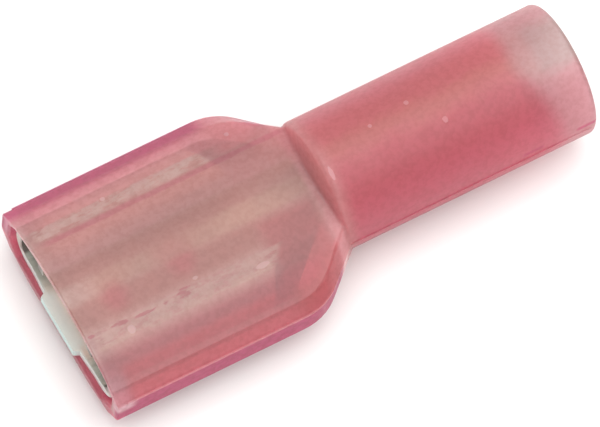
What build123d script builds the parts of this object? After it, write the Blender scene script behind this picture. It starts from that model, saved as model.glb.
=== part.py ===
from build123d import *
import math
import os

# Fully insulated female quick-disconnect (female spade terminal) for a
# 6.35 x 0.8 mm tab, wire range 0.5 - 1.5 mm2.
#
# Frame: X runs from the tab mouth (-X) to the wire entry (+X), Y is across the
# width, +Z is up.  The origin is under the middle of the part, on the plane
# that the round barrel lies on.  All sizes are in millimetres.

# ---------------------------------------------------------------- dimensions
length = 21.00             # housing, mouth face to wire-entry face
barrel_r = 2.60            # outside radius of the round barrel
tongue_out = 0.08          # the metal tongue stands this far out of the mouth

x_mouth = -(length - tongue_out) / 2      # the box of the whole part is centred
x_rear = x_mouth + length
z_axis = barrel_r          # height of the barrel's axis

# flat tab box of the housing; heights are measured from the barrel's axis
box_half_w = 4.40
crown_z = 1.30             # top, on the centre line
crown_r = 8.64             # radius of the crowned top
top_inset = 0.52           # the crown stops this far short of the side
side_top_z = 0.02
side_bot_z = -1.10
chine_inset = 0.70         # lower corner facet
chine_z = -1.66
belly_z = -1.92
belly_inset = 2.10         # the flat underside stops this far short of the side
box_straight = 7.80        # mouth to the start of the rounded shoulders
shoulder_r = 2.30          # rounding of each shoulder, seen from above
shoulder_slope = 0.91      # mm of width lost for each mm of length
shoulder_x = (7.0, 7.4, 7.8, 8.2, 8.6, 9.0, 9.4, 9.8, 10.2, 10.6, 10.9)
barrel_front = 10.30       # mouth to the foot of the barrel's step
foot_fillet = 0.12         # concave corner where that step meets the crowned top

# cavity of the tab box
cav_half_w = 3.86
cav_crown_z = 0.90
cav_crown_r = 11.8
cav_top_inset = 0.45
cav_side_top_z = -0.06
cav_side_bot_z = -0.93
cav_chine_inset = 0.70
cav_floor_z = -1.45
cav_straight = 7.30
cav_shoulder_r = 1.60
cav_shoulder_x = (6.6, 7.0, 7.4, 7.8, 8.2, 8.6, 9.0, 9.4, 9.8, 10.1)
mouth_round = 0.06
mouth_lead_in = 0.08
seam_out = 0.035           # the mould's parting line stands this far out of the barrel
seam_t = 0.07              # and is this thick, at the height of the axis
neck_room_w = 1.62         # half width of the passage into the barrel
neck_room_z = 0.86

# bore of the barrel, from the mouth face
bore_x0 = 10.80
sleeve_x0 = 11.05          # front end of the support sleeve, against the bore's taper
sleeve_x1 = 17.05          # rear end, where the nylon's bore widens
sleeve_r_out = 1.75
sleeve_r_in = 1.45
entry_r = 1.95             # the sleeve is pushed in, and the wire's insulation passes, here
funnel_x0 = 18.40          # the wall thins from here to the rear
funnel_x1 = 18.90
funnel_r = 2.26

# receptacle: one blank of tin-plated brass strip, rolled
sheet = 0.40
floor_z = -1.45            # underside of the receptacle's floor
roll_y = 2.64              # centre of each rolled rail
roll_r = 1.00              # outside radius of the roll
crest_y = 2.32             # the crest is flat from here out to roll_y
lip_r = 0.70               # outside radius of the inner turn
lip_z = -0.31              # height of the rolled edge that presses on the tab
metal_front = 0.14         # the floor starts this far inside the mouth
rail_front = 0.20          # and the rolled rails a little further in
tongue_half_w = 1.22
rail_end_out = 6.85        # slanted rear ends of the rails
rail_end_in = 8.00
crimp_r_out = 1.45
crimp_r_in = 1.05
crimp_x0 = 11.10
crimp_x1 = 16.95
seam_w = 0.07
dimple_x = 3.70             # locking dimple, from the mouth
dimple_r = 1.60
dimple_h = 0.25


def across(x):
    """A plane that stands across the part, x mm behind the mouth face.
    Its local x is +Y, its local y is +Z, and it is centred on the axis."""
    return Plane(origin=(x_mouth + x, 0, z_axis), x_dir=(0, 1, 0), z_dir=(1, 0, 0))


def shoulder_width(x, half_w, x_start, radius, slope):
    """Half width of a straight box that turns into a slanted shoulder."""
    turn = math.atan(slope)
    x_end = x_start + radius * math.sin(turn)
    if x <= x_start:
        return half_w
    if x <= x_end:
        return half_w - (radius - math.sqrt(radius ** 2 - (x - x_start) ** 2))
    return half_w - radius * (1 - math.cos(turn)) - slope * (x - x_end)


def crown_height(y, top, radius):
    """Height of a crowned top at y from the centre line."""
    return top - (radius - math.sqrt(radius ** 2 - y ** 2))


# ------------------------------------------------------------------- housing
# One moulding of translucent nylon.  The straight part of the tab box is
# swept along X; the shoulders are a loft of the same section as it narrows.
with BuildPart() as tab_box:
    with BuildSketch(across(0)) as s:
        w = box_half_w
        ye = w - top_inset
        ze = crown_height(ye, crown_z, crown_r)
        with BuildLine():
            ThreePointArc((-ye, ze), (0, crown_z), (ye, ze))
            Polyline((ye, ze), (w, side_top_z), (w, side_bot_z),
                     (w - chine_inset, chine_z), (w - belly_inset, belly_z),
                     (-w + belly_inset, belly_z), (-w + chine_inset, chine_z),
                     (-w, side_bot_z), (-w, side_top_z), (-ye, ze))
        make_face()
        fillet([v for v in s.vertices() if abs(v.X) > w - chine_inset - 0.01], 0.28)
    extrude(amount=shoulder_x[0])
    # the outside of the mouth's rim is softened
    fillet(tab_box.faces().sort_by(Axis.X)[0].edges(), mouth_round)

with BuildPart() as shoulders:
    for x in shoulder_x:
        w = shoulder_width(x, box_half_w, box_straight, shoulder_r, shoulder_slope)
        ye = w - top_inset
        ze = crown_height(ye, crown_z, crown_r)
        with BuildSketch(across(x)) as s:
            with BuildLine():
                ThreePointArc((-ye, ze), (0, crown_z), (ye, ze))
                Polyline((ye, ze), (w, side_top_z), (w, side_bot_z),
                         (w - chine_inset, chine_z), (w - belly_inset, belly_z),
                         (-w + belly_inset, belly_z), (-w + chine_inset, chine_z),
                         (-w, side_bot_z), (-w, side_top_z), (-ye, ze))
            make_face()
            fillet([v for v in s.vertices() if abs(v.X) > w - chine_inset - 0.01], 0.28)
    loft()

# The cavity that holds the receptacle, and its own shoulders.
with BuildPart() as cavity:
    with BuildSketch(across(-0.5)) as s:
        w = cav_half_w
        ye = w - cav_top_inset
        ze = crown_height(ye, cav_crown_z, cav_crown_r)
        with BuildLine():
            ThreePointArc((-ye, ze), (0, cav_crown_z), (ye, ze))
            Polyline((ye, ze), (w, cav_side_top_z), (w, cav_side_bot_z),
                     (w - cav_chine_inset, cav_floor_z),
                     (-w + cav_chine_inset, cav_floor_z),
                     (-w, cav_side_bot_z), (-w, cav_side_top_z), (-ye, ze))
        make_face()
        fillet([v for v in s.vertices() if abs(v.X) > w - 0.01], 0.15)
    extrude(amount=cav_shoulder_x[0] + 0.5)

with BuildPart() as cavity_shoulders:
    for x in cav_shoulder_x:
        w = shoulder_width(x, cav_half_w, cav_straight, cav_shoulder_r, shoulder_slope)
        ye = w - cav_top_inset
        ze = crown_height(ye, cav_crown_z, cav_crown_r)
        with BuildSketch(across(x)) as s:
            with BuildLine():
                ThreePointArc((-ye, ze), (0, cav_crown_z), (ye, ze))
                Polyline((ye, ze), (w, cav_side_top_z), (w, cav_side_bot_z),
                         (w - cav_chine_inset, cav_floor_z),
                         (-w + cav_chine_inset, cav_floor_z),
                         (-w, cav_side_bot_z), (-w, cav_side_top_z), (-ye, ze))
            make_face()
            fillet([v for v in s.vertices() if abs(v.X) > w - 0.01], 0.15)
    loft()

# The passage through which the neck of the receptacle runs into the barrel.
with BuildPart() as passage:
    with BuildSketch(across(9.7)) as s:
        with Locations((0, (neck_room_z + cav_floor_z) / 2)):
            Rectangle(2 * neck_room_w, neck_room_z - cav_floor_z)
        fillet([v for v in s.vertices() if v.Y > 0], 0.5)
        fillet([v for v in s.vertices() if v.Y < 0], 0.3)
    extrude(amount=bore_x0 + 0.02 - 9.7)

# The round barrel: a stepped front, a rounded rear rim.  This and the other
# turned shapes start on the underside, so their seam lies out of sight.
with BuildPart() as barrel:
    with BuildSketch(Plane(origin=(x_mouth, 0, z_axis), x_dir=(1, 0, 0), z_dir=(0, 1, 0))) as s:
        with BuildLine():
            Polyline((barrel_front, 0), (barrel_front, 1.30), (barrel_front + 0.22, barrel_r),
                     (length, barrel_r), (length, 0), (barrel_front, 0))
        make_face()
        fillet([v for v in s.vertices() if abs(v.Y - barrel_r) < 0.01 and v.X < 0.6], 0.42)
        fillet([v for v in s.vertices() if abs(v.Y - barrel_r) < 0.01 and v.X > 0.6], 0.22)
    revolve(axis=Axis((x_mouth, 0, z_axis), (1, 0, 0)), revolution_arc=360)

# The stepped bore inside the barrel.
with BuildPart() as bore:
    with BuildSketch(Plane(origin=(x_mouth, 0, z_axis), x_dir=(1, 0, 0), z_dir=(0, 1, 0))):
        with BuildLine():
            Polyline((bore_x0, 0), (bore_x0, 1.52), (sleeve_x0 - 0.08, sleeve_r_out),
                     (sleeve_x1, sleeve_r_out),
                     (sleeve_x1, entry_r), (funnel_x0, entry_r), (funnel_x1, funnel_r),
                     (length - 0.12, funnel_r), (length + 0.2, funnel_r + 0.16),
                     (length + 0.2, 0), (bore_x0, 0))
        make_face()
    revolve(axis=Axis((x_mouth, 0, z_axis), (1, 0, 0)), revolution_arc=360)

# The mould's parting line: a fine ridge round the moulding at the height of
# the axis, where its two halves met.
turn = math.atan(shoulder_slope)
slope_x = box_straight + shoulder_r * math.sin(turn)
slope_w = box_half_w - shoulder_r * (1 - math.cos(turn))
mid_x = box_straight + shoulder_r * math.sin(turn / 2)
mid_w = box_half_w - shoulder_r * (1 - math.cos(turn / 2))
ridge_w = barrel_r + seam_out
meet_x = slope_x + (slope_w - ridge_w) / shoulder_slope
with BuildPart() as parting_line:
    with BuildSketch(Plane.XY.offset(z_axis - seam_t / 2)):
        with BuildLine():
            Polyline((x_mouth + 0.40, 0), (x_mouth + 0.40, box_half_w),
                     (x_mouth + box_straight, box_half_w))
            ThreePointArc((x_mouth + box_straight, box_half_w), (x_mouth + mid_x, mid_w),
                          (x_mouth + slope_x, slope_w))
            Polyline((x_mouth + slope_x, slope_w), (x_mouth + meet_x, ridge_w),
                     (x_mouth + length - 0.30, ridge_w), (x_mouth + length - 0.30, 0),
                     (x_mouth + 0.40, 0))
        make_face()
        mirror(about=Plane.XZ)
    extrude(amount=seam_t)

with BuildPart() as housing:
    add(tab_box.part)
    add(shoulders.part)
    add(barrel.part)
    # the concave corner between the crowned top and the barrel's step
    foot = [e for e in housing.edges().filter_by(GeomType.BSPLINE)
            if abs(e.bounding_box().min.X - (x_mouth + barrel_front)) < 0.003
            and e.bounding_box().max.Z > z_axis + crown_z - 0.1]
    fillet(foot, foot_fillet)
    add(parting_line.part)
    add(cavity.part, mode=Mode.SUBTRACT)
    add(cavity_shoulders.part, mode=Mode.SUBTRACT)
    add(passage.part, mode=Mode.SUBTRACT)
    add(bore.part, mode=Mode.SUBTRACT)
    # a small lead-in round the inside of the mouth
    rim = housing.faces().sort_by(Axis.X)[0]
    chamfer(rim.inner_wires()[0].edges(), mouth_lead_in)

housing.part.label = "housing"

# ---------------------------------------------------------------- receptacle
# One rolled rail: floor edge, roll, flat crest and the edge that comes down
# on the tab.  It is swept along X and its rear end is cut on a slant.
with BuildPart() as rail:
    with BuildSketch(across(rail_front)):
        top = floor_z + 2 * roll_r
        mid = floor_z + roll_r
        r_in = roll_r - sheet
        l_in = lip_r - sheet
        k = math.sqrt(0.5)
        with BuildLine():
            Line((2.00, floor_z), (roll_y, floor_z))
            ThreePointArc((roll_y, floor_z), (roll_y + roll_r, mid), (roll_y, top))
            Line((roll_y, top), (crest_y, top))
            ThreePointArc((crest_y, top), (crest_y - lip_r * k, top - lip_r * (1 - k)),
                          (crest_y - lip_r, top - lip_r))
            Polyline((crest_y - lip_r, top - lip_r), (crest_y - lip_r, lip_z),
                     (crest_y - l_in, lip_z), (crest_y - l_in, top - lip_r))
            ThreePointArc((crest_y - l_in, top - lip_r),
                          (crest_y - l_in * k, top - lip_r + l_in * k),
                          (crest_y, top - sheet))
            Line((crest_y, top - sheet), (roll_y, top - sheet))
            ThreePointArc((roll_y, top - sheet), (roll_y + r_in, mid), (roll_y, floor_z + sheet))
            Polyline((roll_y, floor_z + sheet), (2.00, floor_z + sheet), (2.00, floor_z))
        make_face()
    extrude(amount=rail_end_in + 0.2 - rail_front)
    with BuildSketch(Plane.XY):
        with BuildLine():
            Polyline((x_mouth + rail_end_out, 3.70), (x_mouth + rail_end_in, 1.55),
                     (x_mouth + 9.0, 1.55), (x_mouth + 9.0, 3.70),
                     (x_mouth + rail_end_out, 3.70))
        make_face()
    extrude(amount=6, mode=Mode.SUBTRACT)

# The floor: the tongue at the mouth, the plain strip between the rails, and
# the waist that runs in to the crimp barrel.
with BuildPart() as strip:
    with BuildSketch(Plane.XY.offset(z_axis + floor_z)) as s:
        with BuildLine():
            Polyline((x_mouth - tongue_out, -tongue_half_w),
                     (x_mouth + metal_front, -tongue_half_w - 0.12),
                     (x_mouth + rail_front, -2.30),
                     (x_mouth + 7.10, -2.30), (x_mouth + 7.95, -1.62),
                     (x_mouth + 9.40, -1.30), (x_mouth + 10.60, -0.60),
                     (x_mouth + 10.60, 0.60), (x_mouth + 9.40, 1.30),
                     (x_mouth + 7.95, 1.62), (x_mouth + 7.10, 2.30),
                     (x_mouth + rail_front, 2.30),
                     (x_mouth + metal_front, tongue_half_w + 0.12),
                     (x_mouth - tongue_out, tongue_half_w),
                     (x_mouth - tongue_out, -tongue_half_w))
        make_face()
    extrude(amount=sheet)

# The neck and the crimp barrel: a tube whose front is cut on a slant into an
# open trough.
with BuildPart() as crimp:
    with BuildSketch(across(7.80)):
        Circle(crimp_r_out)
    extrude(amount=crimp_x1 - 7.80)
    with BuildSketch(across(7.70)):
        Circle(crimp_r_in)
    extrude(amount=crimp_x1 - 7.70 + 0.1, mode=Mode.SUBTRACT)
    # slanted cut, seen from the side
    with BuildSketch(Plane(origin=(x_mouth, 0, z_axis), x_dir=(1, 0, 0), z_dir=(0, -1, 0))):
        with BuildLine():
            Polyline((7.60, -1.12), (8.60, -0.95), (10.84, 0.70), (crimp_x0, 1.60),
                     (7.60, 1.60), (7.60, -1.12))
        make_face()
    extrude(amount=3, both=True, mode=Mode.SUBTRACT)
    # butted seam along the top, left open by a hair
    with BuildSketch(Plane.XY.offset(z_axis + 0.5)):
        with Locations((x_mouth + (10.0 + crimp_x1) / 2, 0)):
            Rectangle(crimp_x1 - 10.0 + 0.2, seam_w)
    extrude(amount=1.5, mode=Mode.SUBTRACT)
    # serrations that bite the strands
    with BuildSketch(Plane(origin=(x_mouth, 0, z_axis), x_dir=(1, 0, 0), z_dir=(0, -1, 0))):
        for gx in (12.6, 13.9, 15.2):
            with Locations((gx, crimp_r_in)):
                Rectangle(0.30, 0.12)
    revolve(axis=Axis((x_mouth, 0, z_axis), (1, 0, 0)), revolution_arc=360, mode=Mode.SUBTRACT)

# Locking dimple, pressed up from the underside of the floor: a shallow cap.
with BuildPart() as dimple:
    with Locations((x_mouth + dimple_x, 0, z_axis + floor_z + sheet + dimple_h - dimple_r)):
        Sphere(dimple_r)
    split(bisect_by=Plane.XY.offset(z_axis + floor_z + 0.1), keep=Keep.TOP)

with BuildPart() as receptacle:
    add(strip.part)
    add(rail.part)
    add(mirror(rail.part, about=Plane.XZ, mode=Mode.PRIVATE))
    add(crimp.part)
    add(dimple.part)
    with Locations((x_mouth + dimple_x, 0, z_axis + floor_z + dimple_h - dimple_r)):
        Sphere(dimple_r, mode=Mode.SUBTRACT)

receptacle.part.label = "receptacle"

# -------------------------------------------------------------- crimp_sleeve
# Plain support tube round the crimp barrel, inside the nylon.
with BuildPart() as crimp_sleeve:
    with BuildSketch(Plane(origin=(x_mouth, 0, z_axis), x_dir=(1, 0, 0), z_dir=(0, 1, 0))) as s:
        with BuildLine():
            Polyline((sleeve_x0, sleeve_r_in), (sleeve_x1, sleeve_r_in),
                     (sleeve_x1, sleeve_r_out), (sleeve_x0, sleeve_r_out),
                     (sleeve_x0, sleeve_r_in))
        make_face()
        chamfer([v for v in s.vertices()], 0.05)
    revolve(axis=Axis((x_mouth, 0, z_axis), (1, 0, 0)), revolution_arc=360)

crimp_sleeve.part.label = "crimp_sleeve"

# -------------------------------------------------------------------- output
os.makedirs("parts", exist_ok=True)
export_step(housing.part, "parts/housing.step")
export_step(receptacle.part, "parts/receptacle.step")
export_step(crimp_sleeve.part, "parts/crimp_sleeve.step")
for node in (housing, receptacle, crimp_sleeve):
    bb = node.part.bounding_box()
    print(node.part.label, "solids", len(node.part.solids()),
          "volume", round(node.part.volume, 3),
          "x", round(bb.min.X, 3), round(bb.max.X, 3),
          "y", round(bb.min.Y, 3), round(bb.max.Y, 3),
          "z", round(bb.min.Z, 3), round(bb.max.Z, 3))
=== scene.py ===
import bpy
import math
from mathutils import Matrix, Vector

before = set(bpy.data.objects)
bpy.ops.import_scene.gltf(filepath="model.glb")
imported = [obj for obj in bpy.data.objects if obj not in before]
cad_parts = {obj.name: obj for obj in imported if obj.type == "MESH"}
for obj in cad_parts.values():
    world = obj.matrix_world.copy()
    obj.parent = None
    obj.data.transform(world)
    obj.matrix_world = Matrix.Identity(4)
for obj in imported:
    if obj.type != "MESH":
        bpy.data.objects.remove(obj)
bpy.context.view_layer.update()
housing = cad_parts["housing"]
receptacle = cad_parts["receptacle"]
crimp_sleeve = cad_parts["crimp_sleeve"]

MOUTH = -0.01046          # x of the mouth face, metres
AXIS_Z = 0.0026           # height of the barrel's axis


# ------------------------------------------------------------ node helpers
class Tree:
    """Small helper that builds a material's nodes.  Positions are in mm: x from
    the mouth face, y across, z from the barrel's axis."""

    def __init__(self, name):
        self.mat = bpy.data.materials.new(name)
        self.mat.use_nodes = True
        self.nt = self.mat.node_tree
        self.nt.nodes.clear()
        self.out = self.nt.nodes.new("ShaderNodeOutputMaterial")
        self.bsdf = self.nt.nodes.new("ShaderNodeBsdfPrincipled")
        self.nt.links.new(self.bsdf.outputs[0], self.out.inputs["Surface"])
        tc = self.nt.nodes.new("ShaderNodeTexCoord")
        shift = self.nt.nodes.new("ShaderNodeVectorMath")
        shift.operation = "ADD"
        shift.inputs[1].default_value = (-MOUTH, 0.0, -AXIS_Z)
        self.nt.links.new(tc.outputs["Object"], shift.inputs[0])
        mm = self.nt.nodes.new("ShaderNodeVectorMath")
        mm.operation = "SCALE"
        mm.inputs["Scale"].default_value = 1000.0
        self.nt.links.new(shift.outputs[0], mm.inputs[0])
        self.p = mm.outputs[0]
        sep = self.nt.nodes.new("ShaderNodeSeparateXYZ")
        self.nt.links.new(self.p, sep.inputs[0])
        self.x, self.y, self.z = sep.outputs[0], sep.outputs[1], sep.outputs[2]

    def put(self, socket, value):
        if isinstance(value, bpy.types.NodeSocket):
            self.nt.links.new(value, socket)
        else:
            socket.default_value = value

    def math(self, op, a, b=0.0, c=None, clamp=False):
        n = self.nt.nodes.new("ShaderNodeMath")
        n.operation = op
        n.use_clamp = clamp
        self.put(n.inputs[0], a)
        self.put(n.inputs[1], b)
        if c is not None:
            self.put(n.inputs[2], c)
        return n.outputs[0]

    def add(self, a, b): return self.math("ADD", a, b)
    def sub(self, a, b): return self.math("SUBTRACT", a, b)
    def mul(self, a, b): return self.math("MULTIPLY", a, b)
    def abs(self, a): return self.math("ABSOLUTE", a)
    def max(self, a, b): return self.math("MAXIMUM", a, b)
    def min(self, a, b): return self.math("MINIMUM", a, b)

    def step(self, v, a, b, lo=0.0, hi=1.0):
        """Smooth ramp of v from lo at a to hi at b."""
        n = self.nt.nodes.new("ShaderNodeMapRange")
        n.interpolation_type = "SMOOTHSTEP"
        self.put(n.inputs["Value"], v)
        if a > b:
            a, b, lo, hi = b, a, hi, lo
        n.inputs["From Min"].default_value = a
        n.inputs["From Max"].default_value = b
        n.inputs["To Min"].default_value = lo
        n.inputs["To Max"].default_value = hi
        return n.outputs["Result"]

    def band(self, v, a, b, soft):
        """1 between a and b, with soft edges."""
        return self.mul(self.step(v, a - soft, a + soft), self.step(v, b + soft, b - soft))

    def mix(self, fac, a, b, blend="MIX"):
        n = self.nt.nodes.new("ShaderNodeMix")
        n.data_type = "RGBA"
        n.blend_type = blend
        n.clamp_factor = True
        self.put(n.inputs["Factor"], fac)
        ins = [s for s in n.inputs if s.type == "RGBA"]
        for s, v in zip(ins, (a, b)):
            if isinstance(v, tuple) and len(v) == 3:
                v = v + (1.0,)
            self.put(s, v)
        return [s for s in n.outputs if s.type == "RGBA"][0]

    def stretch(self, v, sx, sy, sz):
        n = self.nt.nodes.new("ShaderNodeVectorMath")
        n.operation = "MULTIPLY"
        self.put(n.inputs[0], v)
        n.inputs[1].default_value = (sx, sy, sz)
        return n.outputs[0]

    def noise(self, scale, detail=3.0, rough=0.5, distortion=0.0, at=None, offset=None):
        n = self.nt.nodes.new("ShaderNodeTexNoise")
        n.inputs["Scale"].default_value = scale
        n.inputs["Detail"].default_value = detail
        n.inputs["Roughness"].default_value = rough
        n.inputs["Distortion"].default_value = distortion
        v = self.p if at is None else at
        if offset is not None:
            o = self.nt.nodes.new("ShaderNodeVectorMath")
            o.operation = "ADD"
            self.put(o.inputs[0], v)
            o.inputs[1].default_value = offset
            v = o.outputs[0]
        self.put(n.inputs["Vector"], v)
        return n.outputs["Fac"]

    def bump(self, height, strength, distance, normal=None):
        n = self.nt.nodes.new("ShaderNodeBump")
        n.inputs["Strength"].default_value = strength
        n.inputs["Distance"].default_value = distance
        self.put(n.inputs["Height"], height)
        if normal is not None:
            self.put(n.inputs["Normal"], normal)
        return n.outputs[0]


# --------------------------------------------------------------- materials
def pink_nylon():
    """Translucent nylon: a satin skin over a medium that scatters light and takes
    green and blue from it, so that thick walls are deeper and thin ones pale."""
    t = Tree("pink_nylon")
    b = t.bsdf
    cloud = t.noise(0.55, 3.0, 0.55)
    fine = t.noise(1.6, 2.0, 0.5, offset=(7.3, 1.1, 4.0))
    grain = t.noise(6.0, 1.0, 0.5, offset=(2.0, 9.0, 5.0))
    mottle = t.noise(4.6, 2.0, 0.6, offset=(5.0, 6.0, 2.0))
    ragged = t.noise(2.6, 4.0, 0.65, at=t.stretch(t.p, 0.55, 1.6, 1.6), offset=(4.0, 3.0, 8.0))
    # where the wall is thin, thick, or backed by the sleeve
    half = t.sub(4.40, t.mul(0.91, t.max(0.0, t.sub(t.x, 8.69))))
    inset = t.sub(half, t.abs(t.y))
    box = t.step(t.x, 10.7, 10.2)
    edge = t.mul(box, t.step(inset, 0.75, 0.35))
    edge = t.mul(edge, t.step(t.y, -2.0, 2.0))
    barrel = t.step(t.x, 10.0, 10.9)
    end = t.add(t.x, t.add(t.mul(0.6, t.sub(cloud, 0.5)), t.mul(0.38, t.min(0.0, t.add(t.y, 0.3)))))
    thin = t.step(end, 18.25, 19.15)
    over = t.mul(t.step(t.z, -0.2, 0.1), box)
    col = t.mix(t.step(cloud, 0.3, 0.75), (0.98, 0.90, 0.86), (0.97, 0.85, 0.82))
    col = t.mix(t.mul(t.band(t.y, 0.95, 2.20, 0.15), over), col, (1.10, 0.96, 0.91))
    # painted light: the far side of the wall, beyond y 2.75 mm, is lightened
    col = t.mix(t.step(t.y, 2.75, 3.00), col, (1.22, 1.01, 1.02))
    col = t.mix(t.mul(t.band(t.y, -1.72, 0.98, 0.12), over), col, (0.96, 0.85, 0.76))
    # painted shade: darker bands where the floor lies in shade under the rails, and a painted shadow over the
    # outer flank of the near rail; both lie deeper under the wall
    neck = t.step(t.x, 7.2, 8.0)
    low_neck = t.mul(t.mul(neck, box), t.mul(t.step(t.y, -0.45, -1.0), t.step(t.x, 10.3, 9.6)))
    drawn_y = t.add(t.y, t.mul(0.25, t.sub(cloud, 0.5)))
    shade_band = t.mul(t.band(drawn_y, -1.55, -0.62, 0.20), over)
    col = t.mix(t.mul(shade_band, t.sub(1.0, neck)), col, (0.79, 0.56, 0.49))
    shade_band = t.mul(t.band(drawn_y, 0.16, 0.86, 0.16), over)
    col = t.mix(t.mul(shade_band, t.sub(1.0, t.mul(0.5, neck))), col, (0.84, 0.67, 0.59))
    for cx, cy, r in ((1.75, -0.87, 0.80), (4.52, -0.75, 0.85)):
        dx = t.sub(t.x, cx)
        dy = t.sub(t.y, cy)
        d = t.math("SQRT", t.add(t.mul(dx, dx), t.mul(dy, dy)))
        d = t.add(d, t.mul(0.3, t.sub(ragged, 0.5)))
        col = t.mix(t.mul(t.mul(t.step(d, r, r * 0.2), over), 0.95), col, (0.86, 0.42, 0.43))
    # painted highlight: the floor's light streak shows most near the mouth and towards the neck
    highlight_streak = t.mul(t.band(drawn_y, -0.55, 0.20, 0.18), over)
    col = t.mix(highlight_streak, col, t.mix(1.0, col, (0.92, 0.95, 0.88), "MULTIPLY"))
    col = t.mix(t.mul(highlight_streak, t.band(t.x, 6.3, 9.2, 0.6)), col, (0.97, 0.94, 0.76))
    col = t.mix(t.mul(highlight_streak, t.band(t.x, 3.7, 5.1, 0.5)), col, (0.88, 0.68, 0.60))
    col = t.mix(t.mul(highlight_streak, t.step(t.x, 1.7, 0.7)), col, (0.98, 1.0, 0.90))
    # painted shadow line along the outer flank of the near rail
    col = t.mix(t.mul(t.step(t.y, -2.35, -3.00), over), col, (0.80, 0.41, 0.46))
    col = t.mix(t.mul(t.step(t.y, -3.05, -3.45), over), col, (0.99, 0.36, 0.43))
    col = t.mix(t.mul(t.mul(t.step(t.y, 0.0, -2.0), t.step(inset, 0.78, 0.68)), over), col, (1.02, 0.50, 0.54))
    col = t.mix(t.mul(low_neck, 0.9), col, (0.82, 0.36, 0.37))
    # the wall is duller just behind the mouth
    col = t.mix(t.mul(t.step(t.x, 1.3, 0.2), over), col, t.mix(1.0, col, (0.84, 0.84, 0.84), "MULTIPLY"))
    col = t.mix(edge, col, (0.80, 0.22, 0.48))
    low_side = t.mul(t.mul(box, t.step(inset, 0.45, 0.12)), t.step(t.z, 0.05, -0.12))
    col = t.mix(t.max(low_side, t.mul(t.mul(box, t.step(t.z, -1.05, -1.15)), t.step(t.abs(t.y), 2.2, 2.6))), col, (0.60, 0.14, 0.27))
    # deep colour of the lower wall where its cut face is seen at the mouth
    lip = t.mul(t.step(t.x, 0.5, 0.1), t.step(t.z, -0.85, -1.10))
    col = t.mix(lip, col, (0.93, 0.30, 0.42))
    # a dull patch at the near corner of the mouth
    col = t.mix(t.mul(t.step(t.x, 0.95, 0.45), t.mul(t.step(t.y, -2.9, -3.7, 0.0, 0.8), t.step(t.z, -0.6, -0.3))), col, (0.90, 0.70, 0.78))
    # the foot of the barrel, a little paler than the corner's own shade
    col = t.mix(t.mul(0.9, t.band(t.x, 10.02, 10.48, 0.16)), col, (1.30, 1.10, 1.12))
    # painted light: beyond the slanted rail ends, with no metal close under it, the wall is lightened against the
    # shade of the empty cavity
    past = t.add(t.x, t.mul(0.85, t.sub(t.abs(t.y), 2.4)))
    near_past = t.mul(t.mul(t.step(past, 7.6, 8.3), t.step(t.y, -2.55, -2.95)), t.step(t.x, 9.8, 8.6))
    near_past = t.mul(near_past, t.step(inset, 0.75, 1.15))
    col = t.mix(t.mul(t.mul(near_past, over), 0.85), col, (1.02, 0.37, 0.44))
    far_past = t.mul(t.mul(t.step(t.x, 7.6, 8.3), t.step(t.y, 2.25, 2.60)), t.step(t.x, 9.8, 9.0))
    col = t.mix(t.mul(t.mul(far_past, over), 0.8), col, (1.22, 0.92, 0.94))
    # the wet look where the rolled rails press on the wall, partly a painted highlight of the rails seen through
    # it, with a painted shadow line beside it
    y_top = t.add(t.y, t.mul(0.16, t.sub(ragged, 0.5)))
    slant = t.add(t.x, t.mul(0.85, t.sub(t.abs(t.y), 2.4)))
    run = t.mul(t.step(t.x, 0.15, 0.5), t.step(slant, 7.75, 7.35))
    contact_sheen = t.mul(t.add(t.band(y_top, 2.38, 2.92, 0.06), t.band(y_top, -2.46, -1.74, 0.06)), t.mul(run, over))
    col = t.mix(contact_sheen, col, t.mix(1.0, col, (0.97, 0.92, 0.91), "MULTIPLY"))
    contact_sheen = t.mul(contact_sheen, t.step(ragged, 0.38, 0.54))
    col = t.mix(t.mul(contact_sheen, 0.95), col, t.mix(t.step(t.y, 0.0, 1.0), (1.05, 1.09, 0.98), (1.10, 1.22, 1.17)))
    # painted shadow: the deeper line along the inner side of the far rail
    line = t.mul(t.band(y_top, 2.08, 2.30, 0.05), t.mul(over, t.step(t.x, 0.2, 1.0)))
    col = t.mix(t.mul(line, 0.8), col, (0.95, 0.58, 0.68))
    # the barrel: a painted highlight as a warm streak on top, crimson below it, magenta towards the far side
    drift = t.add(t.y, t.add(t.mul(0.9, t.sub(cloud, 0.5)), t.mul(0.5, t.sub(ragged, 0.5))))
    round_col = t.mix(t.step(drift, 0.9, 1.9), (0.98, 0.50, 0.54), (1.03, 0.54, 0.63))
    round_col = t.mix(t.band(drift, -0.25, 0.35, 0.25), round_col, (0.93, 0.54, 0.50))
    round_col = t.mix(t.step(drift, -0.35, -0.9), round_col, (0.89, 0.34, 0.43))
    round_col = t.mix(t.step(drift, -1.6, -2.3), round_col, (0.96, 0.35, 0.48))
    # painted light: the step face at the front of the barrel is paler
    round_col = t.mix(t.mul(t.step(t.x, 11.2, 10.5), t.step(t.x, 10.1, 10.3)), round_col, (1.0, 0.68, 0.68))
    col = t.mix(barrel, col, round_col)
    # two dark magenta dashes beside the parting line
    dash = t.mul(t.step(t.y, -2.40, -2.50), t.band(t.z, 0.24, 0.42, 0.05))
    dash = t.mul(dash, t.add(t.band(t.x, 17.85, 18.7, 0.10), t.band(t.x, 20.10, 20.92, 0.10)))
    pale = t.mix(t.step(t.x, 19.2, 19.9), (0.97, 0.92, 0.90), (0.81, 0.89, 0.86))
    pale = t.mix(t.step(drift, 0.9, 1.7), pale, (0.93, 0.80, 0.83))
    pale = t.mix(t.step(drift, -0.5, -1.3), pale, (0.95, 0.70, 0.76))
    col = t.mix(thin, col, pale)
    col = t.mix(dash, col, (0.80, 0.16, 0.38))
    # what light inside takes on at the wall: the plain tint, without the small marks
    through = t.mix(1.0, col, (0.736, 0.657, 0.632), "MULTIPLY")
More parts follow.
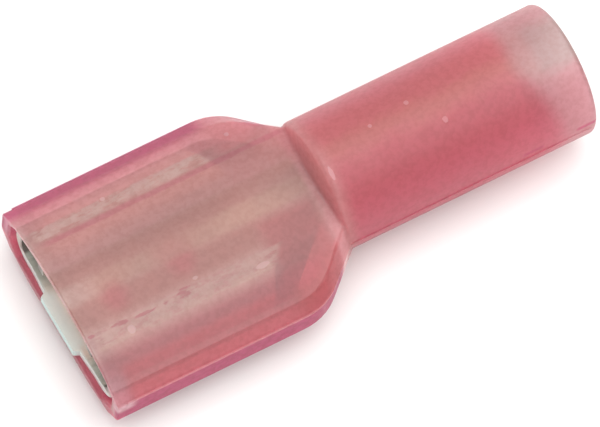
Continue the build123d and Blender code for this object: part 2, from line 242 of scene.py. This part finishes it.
    # fine mottling of the moulded wall
    col = t.mix(t.step(mottle, 0.35, 0.68), col, t.mix(1.0, col, (0.83, 0.77, 0.75), "MULTIPLY"))
    col = t.mix(1.0, col, (0.775, 0.70, 0.68), "MULTIPLY")
    # pink flecks beside the near rail
    fray = t.mul(7.0, t.sub(ragged, 0.5))
    for cx, cy, rx, ry in ((0.22, -1.85, 0.12, 0.08), (1.40, -1.86, 0.34, 0.08), (2.48, -1.92, 0.38, 0.06),
                           (3.28, -1.92, 0.14, 0.08), (4.13, -1.88, 0.26, 0.15)):
        dx = t.mul(t.sub(t.x, cx), 1.0 / rx)
        dy = t.mul(t.sub(t.y, cy), 1.0 / ry)
        d = t.add(t.add(t.mul(dx, dx), t.mul(dy, dy)), fray)
        col = t.mix(t.mul(t.mul(t.step(d, 1.4, 0.3), over), 0.85), col, (0.48, 0.11, 0.16))
    # painted glints: tiny bright spots standing in for glints of light on the skin
    for cx, cy, rx, ry in ((1.70, -2.23, 0.13, 0.14), (3.31, 2.90, 0.08, 0.08), (4.69, -1.57, 0.09, 0.06),
                           (8.58, 3.09, 0.08, 0.08), (7.15, -2.22, 0.24, 0.09), (12.85, 0.23, 0.07, 0.07), (14.48, 0.43, 0.08, 0.08),
                           (15.44, -0.78, 0.09, 0.11), (10.73, -0.72, 0.07, 0.24)):
        dx = t.mul(t.sub(t.x, cx), 1.0 / rx)
        dy = t.mul(t.sub(t.y, cy), 1.0 / ry)
        d = t.add(t.add(t.mul(dx, dx), t.mul(dy, dy)), t.mul(0.35, fray))
        col = t.mix(t.mul(t.step(d, 1.7, 0.2), t.step(t.z, 0.3, 0.6)), col, (1.5, 1.9, 1.8))
    t.put(b.inputs["Base Color"], col)
    rough = t.step(fine, 0.2, 0.85, 0.29, 0.38)
    rough = t.add(rough, t.mul(0.14, barrel))
    t.put(b.inputs["Roughness"], rough)
    b.inputs["IOR"].default_value = 1.53
    t.put(b.inputs["Specular IOR Level"], t.sub(0.30, t.mul(0.29, low_side)))
    # the thick lower corner lets little through
    t.put(b.inputs["Transmission Weight"], t.sub(1.0, t.mul(0.7, low_side)))
    n = t.bump(t.add(t.mul(fine, 0.75), t.mul(grain, 0.25)), 0.14, 0.00002)
    t.put(b.inputs["Normal"], n)
    # light that has once been scattered inside passes the skin straight and tinted,
    # so that the lamp and the sky reach the medium and the metal within
    root = t.nt.nodes.new("ShaderNodeGamma")
    root.inputs["Gamma"].default_value = 0.5
    t.nt.links.new(through, root.inputs["Color"])
    clear = t.nt.nodes.new("ShaderNodeBsdfTransparent")
    t.nt.links.new(root.outputs[0], clear.inputs["Color"])
    path = t.nt.nodes.new("ShaderNodeLightPath")
    seen = t.max(path.outputs["Is Camera Ray"], path.outputs["Is Transmission Ray"])
    skin = t.nt.nodes.new("ShaderNodeMixShader")
    t.nt.links.new(t.max(path.outputs["Is Shadow Ray"], t.sub(1.0, seen)), skin.inputs["Fac"])
    t.nt.links.new(b.outputs[0], skin.inputs[1])
    t.nt.links.new(clear.outputs[0], skin.inputs[2])
    t.nt.links.new(skin.outputs[0], t.out.inputs["Surface"])
    scatter = t.nt.nodes.new("ShaderNodeVolumeScatter")
    scatter.inputs["Color"].default_value = (1.0, 0.96, 0.97, 1.0)
    scatter.inputs["Density"].default_value = 2400.0
    scatter.inputs["Anisotropy"].default_value = 0.0
    absorb = t.nt.nodes.new("ShaderNodeVolumeAbsorption")
    absorb.inputs["Color"].default_value = (0.83, 0.10, 0.23, 1.0)
    absorb.inputs["Density"].default_value = 920.0
    both = t.nt.nodes.new("ShaderNodeAddShader")
    t.nt.links.new(scatter.outputs[0], both.inputs[0])
    t.nt.links.new(absorb.outputs[0], both.inputs[1])
    t.nt.links.new(both.outputs[0], t.out.inputs["Volume"])
    return t.mat


def tinned_brass():
    """Matt tin plate: rolling streaks along the strip, clouds and fine specks."""
    t = Tree("tinned_brass")
    b = t.bsdf
    rail_edge = 0.24
    rolled = t.noise(3.2, 4.0, 0.6, at=t.stretch(t.p, 0.18, 2.6, 2.6))
    cloud = t.noise(1.3, 3.0, 0.55, offset=(3.0, 5.0, 1.0))
    speck = t.noise(7.0, 1.0, 0.5, offset=(1.0, 2.0, 9.0))
    col = t.mix(t.step(cloud, 0.3, 0.75), (0.64, 0.67, 0.59), (0.56, 0.58, 0.51))
    col = t.mix(t.step(rolled, 0.45, 0.75, 0.0, 0.5), col, (0.46, 0.48, 0.42))
    # a painted highlight as a light band along the floor, and two darker round patches on it
    floor_part = t.step(t.z, -0.6, -0.9)
    highlight_streak = t.mul(t.band(t.add(t.y, t.mul(0.2, t.sub(cloud, 0.5))), 0.18, 1.05, 0.16), floor_part)
    col = t.mix(t.mul(highlight_streak, 0.8), col, (0.76, 0.80, 0.66))
    for cx, cy, r in ((2.60, -0.02, 0.62), (5.20, 0.05, 0.60)):
        dx = t.sub(t.x, cx)
        dy = t.sub(t.y, cy)
        d = t.math("SQRT", t.add(t.mul(dx, dx), t.mul(dy, dy)))
        col = t.mix(t.mul(t.mul(t.step(d, r, r * 0.25), floor_part), 0.75), col, (0.42, 0.27, 0.23))
    # painted reflection: the outer flanks of the rolls take the pink of the wall beside them
    flank_reflection = t.mul(t.max(t.step(t.y, -2.65, -2.95), t.mul(0.3, t.step(t.y, 2.65, 2.95))), t.step(t.z, -0.95, -0.75))
    col = t.mix(flank_reflection, col, (0.50, 0.40, 0.38))
    # painted shade: the inside of the rolls is darkened, out of the light
    rolled_in = t.mul(t.band(t.z, -1.10, 0.20, 0.03), t.step(t.abs(t.y), 1.15, 2.0))
    rolled_in = t.mul(rolled_in, t.step(t.abs(t.y), 3.40, 3.20))
    rolled_in = t.mul(rolled_in, t.max(t.step(t.x, 0.45, 0.85), t.step(t.z, -0.98, -0.90)))
    col = t.mix(rolled_in, col, (0.24, 0.22, 0.20))
    # bright cut edge of the strip at the mouth
    col = t.mix(t.mul(t.step(t.x, rail_edge, rail_edge - 0.04), t.step(t.z, -1.0, -1.08)), col, (0.68, 0.78, 0.74))
    col = t.mix(t.mul(t.mul(t.step(t.x, 0.75, 0.30), t.step(t.abs(t.y), 1.5, 1.0)), floor_part), col, (0.58, 0.72, 0.69))
    t.put(b.inputs["Base Color"], col)
    b.inputs["Metallic"].default_value = 0.60
    t.put(b.inputs["Roughness"], t.step(speck, 0.25, 0.8, 0.42, 0.56))
    n = t.bump(t.add(t.mul(rolled, 0.7), t.mul(speck, 0.3)), 0.22, 0.00002)
    t.put(b.inputs["Normal"], n)
    return t.mat


def copper():
    t = Tree("copper")
    b = t.bsdf
    drawn = t.noise(3.0, 4.0, 0.6, at=t.stretch(t.p, 0.15, 3.0, 3.0))
    cloud = t.noise(0.9, 3.0, 0.55, offset=(6.0, 2.0, 3.0))
    col = t.mix(t.step(cloud, 0.3, 0.75), (0.80, 0.50, 0.38), (0.66, 0.38, 0.28))
    t.put(b.inputs["Base Color"], col)
    b.inputs["Metallic"].default_value = 1.0
    t.put(b.inputs["Roughness"], t.step(drawn, 0.25, 0.8, 0.50, 0.65))
    t.put(b.inputs["Normal"], t.bump(drawn, 0.3, 0.00002))
    return t.mat


def floor_material():
    t = Tree("floor_pale")
    b = t.bsdf
    soft = t.noise(0.05, 3.0, 0.5)
    col = t.mix(t.step(soft, 0.3, 0.7), (0.88, 0.88, 0.88), (0.86, 0.86, 0.865))
    t.put(b.inputs["Base Color"], col)
    b.inputs["Roughness"].default_value = 0.85
    b.inputs["Specular IOR Level"].default_value = 0.2
    return t.mat


for node, mat in ((housing, pink_nylon()), (receptacle, tinned_brass()), (crimp_sleeve, copper())):
    for i in range(len(node.material_slots)):
        node.material_slots[i].material = mat

# ------------------------------------------------------------------- floor
me = bpy.data.meshes.new("floor")
R = 1.5
me.from_pydata([(-R, -R, 0), (R, -R, 0), (R, R, 0), (-R, R, 0)], [], [(0, 1, 2, 3)])
me.materials.append(floor_material())
floor = bpy.data.objects.new("floor", me)
bpy.context.scene.collection.objects.link(floor)
floor.location.z = -0.00001

# ------------------------------------------------------------------ lights
world = bpy.data.worlds.new("studio")
bpy.context.scene.world = world
world.use_nodes = True
bg = world.node_tree.nodes["Background"]
bg.inputs["Color"].default_value = (1.0, 0.995, 0.985, 1.0)
bg.inputs["Strength"].default_value = 0.70


def area(name, at, target, size, power, colour):
    light = bpy.data.lights.new(name, "AREA")
    light.shape = "DISK"
    light.size = size
    light.energy = power
    light.color = colour
    o = bpy.data.objects.new(name, light)
    o.location = at
    o.rotation_mode = "QUATERNION"
    o.rotation_quaternion = (Vector(target) - Vector(at)).to_track_quat("-Z", "Y")
    bpy.context.scene.collection.objects.link(o)
    return o


# ------------------------------------------------------------------ camera
PX = 27.6                                   # pixels per mm at the object
TURN, LIFT, SKEW = math.radians(14.0), math.radians(21.0), 0.0055
e_s = Vector((math.cos(TURN), -math.sin(TURN) * math.sin(LIFT), math.sin(TURN) * math.cos(LIFT)))
e_q = Vector((0.0, -math.cos(LIFT), -math.sin(LIFT)))
into = Vector((math.sin(TURN), math.cos(TURN) * math.sin(LIFT), -math.cos(TURN) * math.cos(LIFT)))
S = Vector((0.8973, -0.4415)) * math.cos(SKEW) + Vector((0.4415, 0.8973)) * math.sin(SKEW)
Q = Vector((0.4415, 0.8973)) * math.cos(SKEW) - Vector((0.8973, -0.4415)) * math.sin(SKEW)
right = S.x * e_s + Q.x * e_q
down = S.y * e_s + Q.y * e_q
mouth_centre = Vector((MOUTH, 0.0, AXIS_Z))
aim = mouth_centre + (240.1 * right - 97.5 * down) / PX * 0.001
LENS = 800.0
distance = LENS * (600.0 / PX) / 36.0 * 0.001
cam_data = bpy.data.cameras.new("camera")
cam_data.lens = LENS
cam_data.sensor_width = 36.0
cam_data.clip_start = 0.01
cam_data.clip_end = 20.0
cam = bpy.data.objects.new("camera", cam_data)
bpy.context.scene.collection.objects.link(cam)
cam.matrix_world = Matrix((
    (right.x, -down.x, -into.x, 0.0),
    (right.y, -down.y, -into.y, 0.0),
    (right.z, -down.z, -into.z, 0.0),
    (0.0, 0.0, 0.0, 1.0)))
cam.location = aim - into * distance
bpy.context.scene.camera = cam

# the key light is a wide soft one overhead
centre = Vector((0.0, 0.0, 0.0025))
key_from = Vector((math.sin(TURN) * 0.3, -math.sin(math.radians(6.6)), 1.0)).normalized()
area("key", centre + key_from * 0.60, centre, 0.90, 5.0, (1.0, 0.985, 0.965))

scene = bpy.context.scene
scene.view_settings.view_transform = "Standard"
scene.view_settings.look = "None"
scene.view_settings.exposure = 0.0
scene.view_settings.gamma = 1.0
scene.cycles.max_bounces = 18
scene.cycles.transmission_bounces = 12
scene.cycles.diffuse_bounces = 6
scene.cycles.glossy_bounces = 6
scene.cycles.volume_bounces = 11
scene.cycles.sample_clamp_indirect = 4.0
scene.cycles.caustics_reflective = True
scene.cycles.caustics_refractive = True
